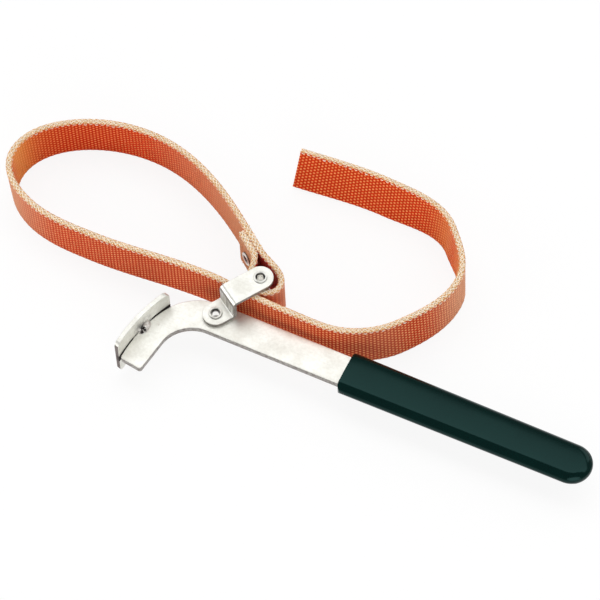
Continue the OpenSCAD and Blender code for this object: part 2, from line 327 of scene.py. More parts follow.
def node_group(name, kind, inputs, outputs):
    """A tree with its named sockets: the tree, the fields that it is given, the sockets that it fills."""
    tree = bpy.data.node_groups.new(name, kind)
    for label, value_kind, value in inputs:
        s = tree.interface.new_socket(name=label, in_out="INPUT", socket_type="NodeSocket" + value_kind)
        if value is not None:
            s.default_value = value
    for label, value_kind in outputs:
        tree.interface.new_socket(name=label, in_out="OUTPUT", socket_type="NodeSocket" + value_kind)
    given = {s.name: Field(tree, s) for s in put(tree, "NodeGroupInput").outputs}
    return tree, given, put(tree, "NodeGroupOutput").inputs


def use_group(tree, group, values):
    n = put(tree, "ShaderNodeGroup", values, node_tree=group)
    return {s.name: Field(tree, s) for s in n.outputs}


def new_material(name, **fixed):
    """A material, its tree and its shader's sockets, with the fixed values set on them."""
    m = bpy.data.materials.new(name)
    m.use_nodes = True
    sockets = m.node_tree.nodes["Principled BSDF"].inputs
    for key, value in fixed.items():
        sockets[key.replace("_", " ")].default_value = value
    return m, m.node_tree, sockets


# Effects that more than one finish uses

def cloud_and_grain():
    """Slow cloudy change and fine grain over a surface, both from 0 to 1."""
    tree, given, result = node_group(
        "cloud_and_grain", "ShaderNodeTree",
        [("Place", "Vector", None), ("Cloud scale", "Float", 60.0), ("Grain scale", "Float", 2500.0)],
        [("Cloud", "Float"), ("Grain", "Float")],
    )
    cloud = noise(given["Place"], given["Cloud scale"], detail=5.0, Roughness=0.6)
    feed(result["Cloud"], cloud.ease(0.34, 0.68))
    feed(result["Grain"], noise(given["Place"], given["Grain scale"], detail=2.0))
    return tree


def weld_soot_and_pit_shade():
    """A patchy round stain, the same above and below the bar: the weld's soot, and the painted shade in
    the weld's pit.
    """
    tree, given, result = node_group(
        "weld_soot_and_pit_shade", "ShaderNodeTree",
        [("Place", "Vector", None), ("Centre", "Vector", (0, 0, 0)), ("Reach", "Float", 0.006)],
        [("Soot and shade", "Float")],
    )
    x, y, z = parts_of(given["Place"])
    far = vector_calc("DISTANCE", vector_of(tree, x, y, abs(z)), given["Centre"])
    near = calc("SUBTRACT", 1.0, far / given["Reach"], clamp=True)
    patches = noise(given["Place"], scale=420.0, detail=4.0, Roughness=0.65)
    feed(result["Soot and shade"], near * patches.ease(0.36, 0.66))
    return tree


def twisted_fibre():
    """Fine fibres along a yarn, from 0 to 1, on a pattern laid out in millimetres."""
    tree, given, result = node_group(
        "twisted_fibre", "ShaderNodeTree",
        [("Place", "Vector", None), ("Fineness", "Float", 9.0)],
        [("Fibre", "Float")],
    )
    fibre = noise(given["Place"], given["Fineness"], detail=3.0, Roughness=0.7, Distortion=0.6)
    feed(result["Fibre"], fibre.ease(0.3, 0.7))
    return tree


CLOUD, SOOT_AND_SHADE, FIBRE = cloud_and_grain(), weld_soot_and_pit_shade(), twisted_fibre()


def clouds(place, cloud_scale, grain_scale):
    values = {"Place": place, "Cloud scale": cloud_scale, "Grain scale": grain_scale}
    return use_group(place.tree, CLOUD, values)


def soot_and_shade_round(place, centre, reach):
    return use_group(place.tree, SOOT_AND_SHADE, {"Place": place, "Centre": centre, "Reach": reach})["Soot and shade"]


def fibres(place, fineness):
    return use_group(place.tree, FIBRE, {"Place": place, "Fineness": fineness})["Fibre"]


# Finishes

def plated_steel():
    m, tree, skin = new_material("plated_steel")
    place = place_on(tree)
    look = clouds(place, cloud_scale=90.0, grain_scale=3200.0)
    mottle = clouds(place, cloud_scale=640.0, grain_scale=1500.0)["Cloud"]
    drawn = noise(stretched(place, 60.0, 1500.0, 1500.0), scale=1.0, detail=3.0)
    zinc = blend(look["Cloud"], rgb(240, 240, 234), rgb(230, 229, 221))
    zinc = blend(mottle * 0.3, zinc, rgb(204, 201, 190))
    zinc = blend(drawn.ease(0.52, 0.78) * 0.16, zinc, rgb(190, 186, 178))
    # Duller cut edges with painted shade on the upright sides and the shoe's ends, streaks where the links
    # are bent, and polished bores
    zinc = blend(attribute(tree, "cut_edge_and_shade") * (mottle * 0.25 + 0.62), zinc, rgb(98, 85, 81))
    streaks = noise(stretched(place, 1400.0, 1400.0, 90.0), scale=1.0, detail=2.0)
    zinc = blend(attribute(tree, "bent") * streaks.ease(0.25, 0.7), zinc, rgb(166, 160, 153))
    polish = attribute(tree, "polished_bore")
    zinc = blend(polish, zinc, rgb(252, 251, 248))
    # Soot lies on the shoe's face over the weld, and only thinly elsewhere
    gap_side = attribute(tree, "gap_side")
    soot = soot_and_shade_round(place, SOOT_PLACE, SOOT_REACH) * (gap_side * 0.75 + 0.15)
    # Painted shade in the rolled collars' mouths and at their feet, and on the shoe along the bar's edge,
    # where the gap beside the weld lies in shade
    _, y, z = parts_of(place)
    level = abs(z)
    far_gap = y.ease(*FAR_GAP_START) * (1.0 - level.ease(*FAR_GAP_EDGE))
    near_gap = (1.0 - y.ease(*NEAR_GAP_START)) * (1.0 - level.ease(*NEAR_GAP_EDGE))
    oil = larger(attribute(tree, "oil"), gap_side * (far_gap + near_gap))
    # Real soot and painted shade darken the zinc together
    soot_and_shade = larger(oil, soot * 0.85)
    rough = look["Cloud"] * 0.1 + 0.3 + soot_and_shade * 0.3
    feed(skin["Base Color"], blend(soot_and_shade, zinc, rgb(58, 50, 46)))
    feed(skin["Roughness"], rough * (1.0 - polish * 0.88))
    feed(skin["Metallic"], polish * 0.28 + 0.72)
    feed(skin["Normal"], bump(look["Grain"] * 0.7 + drawn * 0.5, strength=0.25, distance=0.00008))
    return m


def weld_metal():
    m, tree, skin = new_material("weld_metal", Metallic=0.5)
    place = place_on(tree)
    look = clouds(place, cloud_scale=520.0, grain_scale=2600.0)
    pit_shade = soot_and_shade_round(place, PIT_SHADE_PLACE, PIT_SHADE_REACH)
    bead = blend(look["Cloud"], rgb(250, 248, 243), rgb(202, 195, 188))
    # Painted shade darkens the bead in and round its pit
    feed(skin["Base Color"], blend(pit_shade.ease(0.05, 0.18), bead, rgb(26, 18, 19)))
    feed(skin["Roughness"], look["Cloud"] * 0.3 + 0.35)
    feed(skin["Normal"], bump(look["Grain"], strength=0.4, distance=0.0001))
    return m


def dipped_vinyl():
    m, tree, skin = new_material(
        "dipped_vinyl", Specular_IOR_Level=0.255, Specular_Tint=(0.45, 1.0, 0.95, 1.0))
    place = place_on(tree)
    look = clouds(place, cloud_scale=70.0, grain_scale=1500.0)
    ripple = noise(place, scale=180.0, detail=1.0)
    feed(skin["Base Color"], blend(look["Cloud"], rgb(0, 21, 18), rgb(0, 18, 16)))
    feed(skin["Roughness"], look["Cloud"] * 0.05 + 0.12)
    feed(skin["Normal"], bump(look["Grain"] * 0.25 + ripple, strength=0.05, distance=0.0003))
    return m


def woven_belting():
    m, tree, skin = new_material(
        "woven_belting", Specular_IOR_Level=0.15,
        Sheen_Weight=0.35, Sheen_Roughness=0.3, Sheen_Tint=rgb(255, 214, 178))
    weave = made(tree, "ShaderNodeUVMap", output="UV", uv_map="weave")
    along, across, _ = parts_of(weave)
    outer = attribute(tree, "outer_face")
    # Cords across the belt, with the crowns of the yarns staggered from cord to cord
    cord = along / CORD_PITCH
    cord_number = calc("FLOOR", cord)
    in_cord = abs(cord - cord_number - 0.5)
    crown = across / CROWN_PITCH + cord_number % 2.0 * 0.5
    in_crown = abs(calc("FRACT", crown) - 0.5)
    rib = 1.0 - in_cord.ease(0.22, 0.5)
    off_crown = calc("SQRT", (in_cord / CROWN_LONG) ** 2.0 + (in_crown / CROWN_WIDE) ** 2.0)
    dot = 1.0 - off_crown.ease(0.35, 1.1)
    fibre = fibres(weave, fineness=4.5)
    # Crowns worn pale, in patches and most along the tail
    patchy = noise(weave, scale=0.22, detail=3.0)
    worn = dot * (patchy.ease(0.3, 0.7) * 0.25 + 0.75) * (along.ease(*TAIL_STARTS) * 0.2 + 0.8)
    groove = blend(outer, rgb(197, 42, 3), rgb(178, 40, 10))
    cord_top = blend(outer, rgb(215, 54, 4), rgb(198, 56, 18))
    dyed = blend(fibre * 0.16, blend(rib, groove, cord_top), rgb(232, 100, 40))
    dyed = blend(worn, dyed, blend(outer, rgb(254, 178, 106), rgb(248, 174, 114)))
    # Painted sheen where the strap bends and beside its lap, and painted shade inside its eye
    sheen_share = attribute(tree, "bend_sheen") * (0.47 - outer * 0.07)
    dyed = blend(sheen_share, dyed, blend(outer, rgb(255, 190, 96), rgb(222, 188, 148)))
    # Painted sheen, pale tan, on the lap and past it
    dyed = blend(attribute(tree, "painted_lap_sheen") * 0.6, dyed, rgb(218, 186, 138))
    # Painted shade, deep red, inside the eye
    dyed = blend(attribute(tree, "oiled") * 0.85, dyed, rgb(214, 8, 18))
    # The undyed cotton at the cut edges, with a ragged border on the faces
    teeth = calc("PINGPONG", along / TOOTH_PITCH, 0.5)
    ragged = noise(weave, scale=0.9, detail=2.0)
    border = (across < 0.0) * LOWER_EXTRA + FACE_BORDER - teeth * TOOTH_DEPTH + (0.5 - ragged)
    bare = (abs(across) - border).ease(-0.08, 0.1)
    cotton = blend(fibre, rgb(226, 182, 126), rgb(200, 148, 96))
    feed(skin["Base Color"], blend(bare, dyed, cotton))
    feed(skin["Roughness"], dot * -0.12 + 0.78)
    feed(skin["Normal"], bump(rib * 0.2 + dot + fibre * 0.3, strength=0.5, distance=0.00022))
    return m


def cotton_yarn():
    m, tree, skin = new_material("cotton_yarn", Specular_IOR_Level=0.15)
    per_mm = 1 / MM
    fibre = fibres(stretched(place_on(tree), per_mm, per_mm, per_mm), fineness=5.0)
    yarn = blend(attribute(tree, "yarn_tone"), rgb(255, 249, 234), rgb(240, 199, 142))
    feed(skin["Base Color"], blend(fibre * 0.22, yarn, rgb(206, 154, 96)))
    feed(skin["Roughness"], fibre * 0.15 + 0.78)
    feed(skin["Normal"], bump(fibre, strength=0.35, distance=0.0001))
    return m


# The strap's route, in millimetres, as the CAD part has it

PIN = LINK_LEN * heading(LINK_ANGLE)
PLATE_Z = STRAP_W / 2 + EDGE_CLEAR
FLOOR_Z = -(PLATE_Z + LINK_T + FLANGE_BASE + (RIVET_FLANGE_R - RIVET_BORE_R) / 2)
EYE_R = SLEEVE_R + EYE_CLEAR + STRAP_T / 2
LAP_DIR, LAP_IN = heading(LAP_HEADING), heading(LAP_HEADING + 90)
LAP_RIVET = PIN + np.array([-LAP_BACK, LAP_UP])
LAP_SHIFT = STRAP_T + LAYER_GAP
LAP_STRAIGHT = STRAP_RIVET_FLANGE_R + LAP_MARGIN
PASS_Y = PIN[1] - EYE_R - STRAP_T - LAYER_GAP
TAIL_Y = RIVET_EDGE + TAIL_CLEAR + STRAP_T / 2
LINK_SWEEP = math.hypot(LINK_LEN - STEP_AT, LINK_W / 2) + SWEEP_MARGIN
SPAN_STEPS = 160

# Lays a piece made along Z through both layers of the lap
LAP_MIDDLE = at_place(*(LAP_RIVET + LAP_SHIFT / 2 * LAP_IN))
LAP_TURN = Matrix.Rotation(math.radians(LAP_HEADING + 90), 4, "Z")
LAP_LAY = LAP_MIDDLE @ LAP_TURN @ Matrix.Rotation(math.radians(90), 4, "Y")


def strap_route():
    """Nodes of the route: x, y, heading, share of the sag, lean and slant."""
    def flat(p, a):
        return [p[0], p[1], a, 0, 0, 0]

    def loop(along, across, a, sag, lean):
        return [PIN[0] - LOOP_LEN * along, PASS_Y + LOOP_W * across, a, sag, TAIL_LEAN * lean, 0]

    def tail(along, across, a, sag, lean, slant):
        return [TAIL_REACH * along, TAIL_Y + TAIL_W * across, a, sag, TAIL_LEAN * lean, slant]

    return np.array([
        flat(LAP_RIVET + LAP_SHIFT * LAP_IN + LAP_END * LAP_DIR, LAP_HEADING - 180),
        flat(LAP_RIVET + LAP_SHIFT * LAP_IN - LAP_STRAIGHT * LAP_DIR, LAP_HEADING - 180),
        flat(PIN + EYE_R * heading(EYE_ENTER), EYE_ENTER - 270),
        flat(PIN - np.array([0, EYE_R]), 0),
        flat(PIN + np.array([EYE_REACH + STRAP_T / 2, EYE_RISE]), EYE_HEADING),
        flat(LAP_RIVET - LAP_STRAIGHT * LAP_DIR, LAP_HEADING),
        flat(LAP_RIVET + (LAP_END + LAP_LEAD) * LAP_DIR, LAP_HEADING),
        loop(0.39, 0.88, 157, 0.5, 0),
        loop(0.61, 1, 180, 1, 0),
        loop(0.85, 0.87, 208, 1, 0),
        loop(1, 0.43, 269, 1, -0.2),
        loop(0.85, 0.06, 340, 1, 0),
        loop(0.61, 0, 360, 1, 0),
        flat([PIN[0] - LINK_SWEEP, PASS_Y + PASS_RISE], PASS_HEADING),
        flat([PIN[0], PASS_Y], PIN_HEADING),
        flat([PIN[0] + LINK_SWEEP, TAIL_Y], PASS_HEADING),
        tail(0.61, 0.02, 376, 0.6, 0.2, 0),
        tail(0.85, 0.21, 412, 1, 0.35, 0),
        tail(1, 0.62, 454, 1, 0.1, 0),
        tail(0.845, 0.89, 492, 1, -0.3, 0),
        tail(0.45, 1, 537, 1, -0.9, 0),
        tail(-0.03, 0.97, 544, 1, -1, END_SLANT),
    ], float)


def strap_samples():
    """Close samples of the route: x, y, direction, share of the sag, lean and slant."""
    nodes, samples = strap_route(), []
    for a, b in zip(nodes, nodes[1:]):
        # A span is a cubic whose handles suit a round arc of the same turn
        quarter_turn = math.radians((b[2] - a[2]) / 4)
        reach = np.linalg.norm(b[:2] - a[:2]) / (3 * math.cos(quarter_turn) ** 2)
        p = [a[:2], a[:2] + reach * heading(a[2]), b[:2] - reach * heading(b[2]), b[:2]]
        for t in np.linspace(0, 1, SPAN_STEPS, endpoint=False):
            u = 1 - t
            at = u ** 3 * p[0] + 3 * t * u ** 2 * p[1] + 3 * t * t * u * p[2] + t ** 3 * p[3]
            slope = u ** 2 * (p[1] - p[0]) + 2 * t * u * (p[2] - p[1]) + t * t * (p[3] - p[2])
            others = a[3:] + (b[3:] - a[3:]) * t * t * (3 - 2 * t)
            samples.append(np.concatenate([at, slope / np.linalg.norm(slope), others]))
    return np.array(samples)


def strap_frames(step, ends=True):
    """Even stations along the strap, from end to end or midway between those.

    Gives the length so far, the centre, and the directions along the strap, out of its inner
    face and across it.
    """
    samples = strap_samples()
    gone = np.concatenate([[0], np.cumsum(np.linalg.norm(np.diff(samples[:, :2], axis=0), axis=1))])
    length = np.linspace(0, gone[-1], int(round(gone[-1] / step)) + 1)
    if not ends:
        length = (length[1:] + length[:-1]) / 2
    x, y, run_x, run_y, sag, lean, slant = (np.interp(length, gone, column) for column in samples.T)
    zero, up = np.zeros(len(length)), np.array([0, 0, 1.0])
    run = np.stack([run_x, run_y, zero], 1)
    run /= np.linalg.norm(run, axis=1)[:, None]
    left = np.stack([-run[:, 1], run[:, 0], zero], 1)
    lean = np.radians(lean)[:, None]
    rise = np.cos(lean) * up + np.sin(lean) * left
    side = np.cos(lean) * left - np.sin(lean) * up
    across = rise - np.tan(np.radians(slant))[:, None] * run
    lift = STRAP_W / 2 * rise[:, 2] + STRAP_T / 2 * np.abs(side[:, 2])
    centre = np.stack([x, y, sag * (FLOOR_Z + lift)], 1)
    return length, centre, run, side, across


# The woven strap: cords across it, yarn crowns on both faces, bare cut edges

FACE_AND_LIGHT_MARKS = ("outer_face", "bend_sheen", "painted_lap_sheen", "oiled")
CUT_END_MARKS = (0.5, 0.0, 0.0, 0.0)
CUT_END_ACROSS, CUT_END_SPREAD, CUT_END_STEP = 14.0, 0.3, 0.8
EVEN_OUT_STATIONS, SLIGHT_TURN, OUTER_TURN_SPAN, INNER_TURN_SPAN = 17, 0.012, 0.014, 0.008
EYE_UNTIL, LOOP_OUTER_UNTIL, LOOP_INNER_UNTIL = 70, 330, 400
EYE_SHADE_UNTIL, EYE_SHADE_FADE = 82, 6
LAP_SHEEN_UNTIL, LAP_SHEEN_FADE = 170, 90
FOLD_SHEEN_UNTIL, FOLD_FADE = 30, 8


def strap_face_and_light(length, run):
    """The marks at each station, for the strap's outer face and for its inner face: which face it is,
    painted sheen and painted shade.
    """
    turn = np.abs(np.gradient(np.unwrap(np.arctan2(run[:, 1], run[:, 0])), length))

    def bend_sheen(turn_span):
        """How sharply the strap bends, evened out over some 15 mm, as the share of painted sheen there."""
        sharp = np.clip((turn - SLIGHT_TURN) / turn_span, 0, 1)
        return np.convolve(sharp, np.ones(EVEN_OUT_STATIONS) / EVEN_OUT_STATIONS, mode="same")

    # Painted sheen pales the round ends of the loop and the tail where they bend and run crosswise, and
    # not the eye's inside
    crosswise = run[:, 1]
    outer_sheen = bend_sheen(OUTER_TURN_SPAN) * np.where(length < LOOP_OUTER_UNTIL, 1.0, crosswise ** 2)
    round_ends = np.where(length < LOOP_INNER_UNTIL, 1.2 * crosswise ** 8, 1.5 * crosswise ** 2)
    inner_sheen = bend_sheen(INNER_TURN_SPAN) * np.where(length < EYE_UNTIL, 0.0, round_ends)
    # Painted shade darkens the eye's inside up to the lap; painted sheen pales the strap on the lap and
    # past it
    in_eye = np.clip((EYE_SHADE_UNTIL - length) / EYE_SHADE_FADE, 0, 1)
    past_lap = np.clip((LAP_SHEEN_UNTIL - length) / LAP_SHEEN_FADE, 0, 1) * (1 - in_eye)
    on_lap = np.clip((FOLD_SHEEN_UNTIL - length) / FOLD_FADE, 0, 1)
    none, whole = np.zeros(len(length)), np.ones(len(length))
    outer = np.stack([whole, outer_sheen, on_lap, none], 1)
    inner = np.stack([none, inner_sheen, past_lap, in_eye], 1)
    return outer, inner


def strap_section():
    """Points round the strap: place across it, height of the face, and number of the yarn row."""
    rows = list(enumerate(np.arange(FIRST_ROW, LAST_ROW + 1)))
    inner_face = [(z, FACE_OUT, row) for row, z in rows]
    upper_edge = [(z, y, None) for z, y in CUT_EDGE_POINTS]
    outer_face = [(z, -FACE_OUT, row) for row, z in reversed(rows)]
    lower_edge = [(-z, -y, None) for z, y in CUT_EDGE_POINTS]
    return inner_face + upper_edge + outer_face + lower_edge


def weave_relief(station, row):
    """Station 0 is a groove, and each odd station is the middle of a cord."""
    if row is None:
        return 0.0
    if station % 2 == 0:
        return GROOVE_UP
    return CROWN_UP if (row + (station - 1) // 2) % 2 == 0 else BETWEEN_UP


def punch_hole(strap):
    """Cuts the hole for the strap rivet through both layers of the lap."""
    mesh = bpy.data.meshes.new("punch")
    shape = bmesh.new()
    bmesh.ops.create_cone(
        shape, cap_ends=True, segments=40, radius1=PUNCH_R * MM, radius2=PUNCH_R * MM,
        depth=PUNCH_LEN * MM, matrix=LAP_LAY)
    close_shape(shape, mesh)
    punch = add_object("punch", mesh)
    cut = strap.modifiers.new("hole", "BOOLEAN")
    cut.operation, cut.solver, cut.object = "DIFFERENCE", "MANIFOLD", punch
    baked(strap)
    bpy.data.objects.remove(punch)


def woven_strap(material):
    length, centre, run, side, across = strap_frames(CORD_PITCH / 2)
    outer_marks, inner_marks = strap_face_and_light(length, run)
    section, last = strap_section(), len(length) - 1
    n = len(section)
    points, weave, point_marks = [], [], []
    for i in range(len(length)):
        for z, y, row in section:
            out = y + math.copysign(weave_relief(i, row), y)
            points.append(centre[i] + z * across[i] + out * side[i])
            weave.append((length[i], math.copysign(abs(z) + max(0.0, FACE_OUT - abs(y)), z)))
            point_marks.append(outer_marks[i] if y < 0 else inner_marks[i])
    faces = []
    for i in range(last):
        for k in range(n):
            j = (k + 1) % n
            faces.append((i * n + k, i * n + j, (i + 1) * n + j, (i + 1) * n + k))
    for i in (0, last):
        hub = len(points)
        points.append(centre[i])
        weave.append((length[i], CUT_END_ACROSS))
        point_marks.append(CUT_END_MARKS)
        for k in range(n):
            a, b = i * n + k, i * n + (k + 1) % n
            faces.append((hub, b, a) if i == 0 else (hub, a, b))
    mesh = mesh_of("woven_strap", points, faces)
    corners = np.zeros(len(mesh.loops), np.int32)
    mesh.loops.foreach_get("vertex_index", corners)
    laid_out = np.array(weave, np.float32)[corners]
    # The two cut ends, after the four corners of each side face, show bare cotton all over
    first_end = 4 * n * last
    laid_out[first_end:, 1] = CUT_END_ACROSS + CUT_END_SPREAD * np.abs(laid_out[first_end:, 1])
    laid_out[first_end:, 0] += CUT_END_STEP * np.tile((0.0, 1.0, 2.0), 2 * n)
    mesh.uv_layers.new(name="weave").data.foreach_set("uv", laid_out.ravel())
    for label, values in zip(FACE_AND_LIGHT_MARKS, np.array(point_marks).T):
        mark(mesh, label, values)
    face_outwards(mesh)
    smooth_shading(mesh, sharp_angle=70)
    strap = add_object("woven_strap", mesh)
    punch_hole(strap)
    paint(strap, material)
    return strap


# Geometry trees

GEOMETRY_IN, GEOMETRY_OUT = ("Geometry", "Geometry", None), ("Geometry", "Geometry")


def run_tree(piece, tree, values):
    """Runs the tree on the piece with these named inputs, and keeps the result as its mesh."""
    step = piece.modifiers.new(tree.name, "NODES")
    step.node_group = tree
    for item in tree.interface.items_tree:
        if item.item_type == "SOCKET" and item.in_out == "INPUT" and item.name in values:
            step[item.identifier] = values[item.name]
    return baked(piece)


def chance(tree, low, high, seed):
    n = put(tree, "FunctionNodeRandomValue", data_type="FLOAT")
    inputs = {s.name: s for s in n.inputs if s.enabled}
    for label, value in (("Min", low), ("Max", high), ("Seed", seed)):
        feed(inputs[label], value)
    return Field(tree, next(s for s in n.outputs if s.enabled))


def real_and_painted(instances, material):
    """The last steps of a tree: real meshes with smooth faces, in one material."""
    tree = instances.tree
    real = made(tree, "GeometryNodeRealizeInstances", {"Geometry": instances})
    soft = made(tree, "GeometryNodeSetShadeSmooth", {"Geometry": real})
    return made(tree, "GeometryNodeSetMaterial", {"Geometry": soft, "Material": material})


# Braided cotton yarns along the strap's cut edges

LAP_YARN_START, LAP_YARN_END, LAP_YARN_DEPTH, LAP_YARN_WIDTH = -6, LAP_END + 1, 5, 1.3
UPPER_FOLD, LOWER_FOLD = 1.0, 0.55


def bent_yarn(tree, path, steps, radius):
    """A yarn bent along a path with a start, a middle and an end."""
    line = made(tree, "GeometryNodeCurveQuadraticBezier", {"Resolution": steps, **path})
    ring = made(tree, "GeometryNodeCurvePrimitiveCircle", {"Resolution": 5, "Radius": radius})
    values = {"Curve": line, "Profile Curve": ring, "Fill Caps": True}
    return made(tree, "GeometryNodeCurveToMesh", values)


def braid_paths(tree, given, hand):
    """Paths of the three yarns on one hand of an edge: a slanted stroke, a zigzag and a cross yarn."""
    slant, fold, drop = given["Slant"], given["Fold"], given["Zigzag drop"]
    # A zigzag or cross yarn goes a little past half the pitch to either side
    reach, half = given["Reach"] * hand, given["Zigzag pitch"] * 0.53
    zigzag_out, zigzag_tip, zigzag_up = hand * 0.75 * MM, hand * 2.1 * MM, 0.14 * MM
    cross_out, cross_up, cross_over = hand * 0.95 * MM, 0.16 * MM, 0.5 * MM
    stroke = {
        "Start": vector_of(tree, slant * -0.35, reach * -0.12, 0.0),
        "Middle": vector_of(tree, slant * 0.35, reach * 1.12, fold * 0.3),
        "End": vector_of(tree, slant * 0.65, reach, fold * -1.0),
    }
    zigzag = {
        "Start": vector_of(tree, half * -1.0, zigzag_out, zigzag_up),
        "Middle": vector_of(tree, 0.0, zigzag_tip, drop * -2.0),
        "End": vector_of(tree, half, zigzag_out, zigzag_up),
    }
    cross = {
        "Start": vector_of(tree, half * -1.0, -cross_out, cross_up),
        "Middle": vector_of(tree, 0.0, 0.0, cross_over),
        "End": vector_of(tree, half, cross_out, cross_up),
    }
    return stroke, zigzag, cross


def edge_braid_tree():
    """Slanted yarns in two rows along an edge, with pale yarns across them and zigzags at each border."""
    tree, given, result = node_group("edge_braid", "GeometryNodeTree", [
        GEOMETRY_IN,
        ("Yarn radius", "Float", 0.28 * MM),
        ("Reach", "Float", 1.2 * MM),
        ("Slant", "Float", 1.5 * MM),
        ("Fold", "Float", 0.45 * MM),
        ("Zigzag radius", "Float", 0.3 * MM),
        ("Zigzag pitch", "Float", ZIGZAG_PITCH * MM),
        ("Zigzag drop", "Float", 0.95 * MM),
        ("Cross radius", "Float", 0.2 * MM),
        ("Looseness", "Float", 0.25),
        ("Seed", "Int", 7),
        ("Material", "Material", None),
    ], [GEOMETRY_OUT])

    def named(label, kind="FLOAT"):
        values = {"Name": label}
        return made(tree, "GeometryNodeInputNamedAttribute", values, "Attribute", data_type=kind)

    axes = {"Primary Axis": named("run", "FLOAT_VECTOR"), "Secondary Axis": named("side", "FLOAT_VECTOR")}
    facing = made(tree, "FunctionNodeAxesToRotation", axes, primary_axis="X", secondary_axis="Y")
    looseness, fold, wide = given["Looseness"], named("fold"), named("wide")
    on_border = named("border") > 0.5
    inside = 1.0 - on_border
    smallest = 1.0 - looseness * 0.6
    strands = []
    for hand in (1.0, -1.0):
        stroke, zigzag, cross = braid_paths(tree, given, hand)
        for kind, path, steps, picked, draw in (
            ("Yarn", stroke, 4, inside, 3.0),
            ("Zigzag", zigzag, 6, on_border, 40.0),
            ("Cross", cross, 4, on_border, 60.0),
        ):
            yarn = bent_yarn(tree, path, steps, given[kind + " radius"])
            seed = given["Seed"] + (draw + hand)
            size = chance(tree, smallest, 1.06, seed)
            loose = chance(tree, 0.0, 1.0, seed + 11.0)
            if kind == "Yarn":
                scale = vector_of(tree, 1.0, size * wide, size + (loose > 0.88) * looseness)
                tone = loose * 0.65 + 0.2
            elif kind == "Zigzag":
                scale = vector_of(tree, 1.0, fold, fold * (size + (loose > 0.8) * 0.5))
                tone = loose * 0.16
            else:
                scale = vector_of(tree, 1.0, size * wide, fold)
                tone = loose * 0.3
            strand = made(tree, "GeometryNodeInstanceOnPoints", {
                "Points": given["Geometry"], "Selection": picked, "Instance": yarn,
                "Rotation": facing, "Scale": scale})
            if kind == "Yarn":
                sway = vector_of(tree, 0.0, 0.0, chance(tree, -0.16, 0.16, seed + 23.0))
                strand = made(tree, "GeometryNodeRotateInstances", {"Instances": strand, "Rotation": sway})
            values = {"Geometry": strand, "Name": "yarn_tone", "Value": tone}
            strands.append(made(
                tree, "GeometryNodeStoreNamedAttribute", values, data_type="FLOAT", domain="INSTANCE"))
    joined = put(tree, "GeometryNodeJoinGeometry")
    for strand in reversed(strands):
        feed(joined.inputs[0], strand)
    feed(result["Geometry"], real_and_painted(Field(tree, joined.outputs[0]), given["Material"]))
    return tree


def yarn_width(centre):
    """The two layers' yarns close up at the lap."""
    off = centre[:2] - LAP_RIVET
    at_lap = LAP_YARN_START < off @ LAP_DIR < LAP_YARN_END and abs(off @ LAP_IN) < LAP_YARN_DEPTH
    return LAP_YARN_WIDTH if at_lap else 1.0


def braided_edges(material):
    points, runs, sides, border, fold, wide = [], [], [], [], [], []
    for pitch, on_border in ((YARN_PITCH, 0.0), (ZIGZAG_PITCH, 1.0)):
        length, centre, run, side, across = strap_frames(pitch, ends=False)
        for up, edge_fold in ((1, UPPER_FOLD), (-1, LOWER_FOLD)):
            for i in range(len(length)):
                points.append(centre[i] + up * BRAID_AT * across[i])
                runs.append(run[i])
                sides.append(up * side[i])
                border.append(on_border)
                fold.append(edge_fold)
                wide.append(yarn_width(centre[i]))
    mesh = mesh_of("braided_edges", points, [])
    for label, values in (("run", runs), ("side", sides)):
        mark(mesh, label, values, "FLOAT_VECTOR")
    for label, values in (("border", border), ("fold", fold), ("wide", wide)):
        mark(mesh, label, values)
    piece = add_object("braided_edges", mesh)
    return run_tree(piece, edge_braid_tree(), {"Material": material})


# Steel plates and the grip: the CAD shapes with eased edges

BAR_EASE, SHOE_EASE, LINK_EASE, GRIP_EASE = 0.35, 0.3, 0.2, 0.7
SHOE_END_SHARE, BROAD_BEND_AREA = 1.35, 60
CLEAR_OF_BAR_W, CLEAR_OF_BAR_T = 8.3, 1.85
GRIP_SLICES_Y = np.arange(-9, 9.1, 1.5)
GRIP_SLICES_X = [*np.arange(GRIP_START + 6, GRIP_TURN, 12), GRIP_TURN + 2, GRIP_TURN + 4, GRIP_TURN + 6]
GRIP_CROWN, GRIP_FALL, GRIP_CROWN_FROM_BAR = 0.05, 0.2, 0.6


def eased_copy(node, name, width, segments=3, angle=32):
    mesh, shape = merged_copy(node, name)
    nearly_flat = math.radians(0.6)
    bmesh.ops.dissolve_limit(shape, angle_limit=nearly_flat, verts=shape.verts, edges=shape.edges)
    close_shape(shape, mesh)
    smooth_shading(mesh)
    piece = add_object(name, mesh)
    eased = piece.modifiers.new("eased", "BEVEL")
    eased.width, eased.segments = width * MM, segments
    eased.limit_method, eased.angle_limit = "ANGLE", math.radians(angle)
    eased.miter_outer = "MITER_ARC"
    flat_faces = piece.modifiers.new("flat_faces", "WEIGHTED_NORMAL")
    flat_faces.keep_sharp, flat_faces.weight = False, 60
    return baked(piece)


def slice_across(shape, x, y, direction):
    """Cuts new edges through the shape at a plane."""
    everything = shape.verts[:] + shape.edges[:] + shape.faces[:]
    place = Vector((x, y, 0)) * MM
    bmesh.ops.bisect_plane(shape, geom=everything, plane_co=place, plane_no=direction, dist=SLICE_REACH)


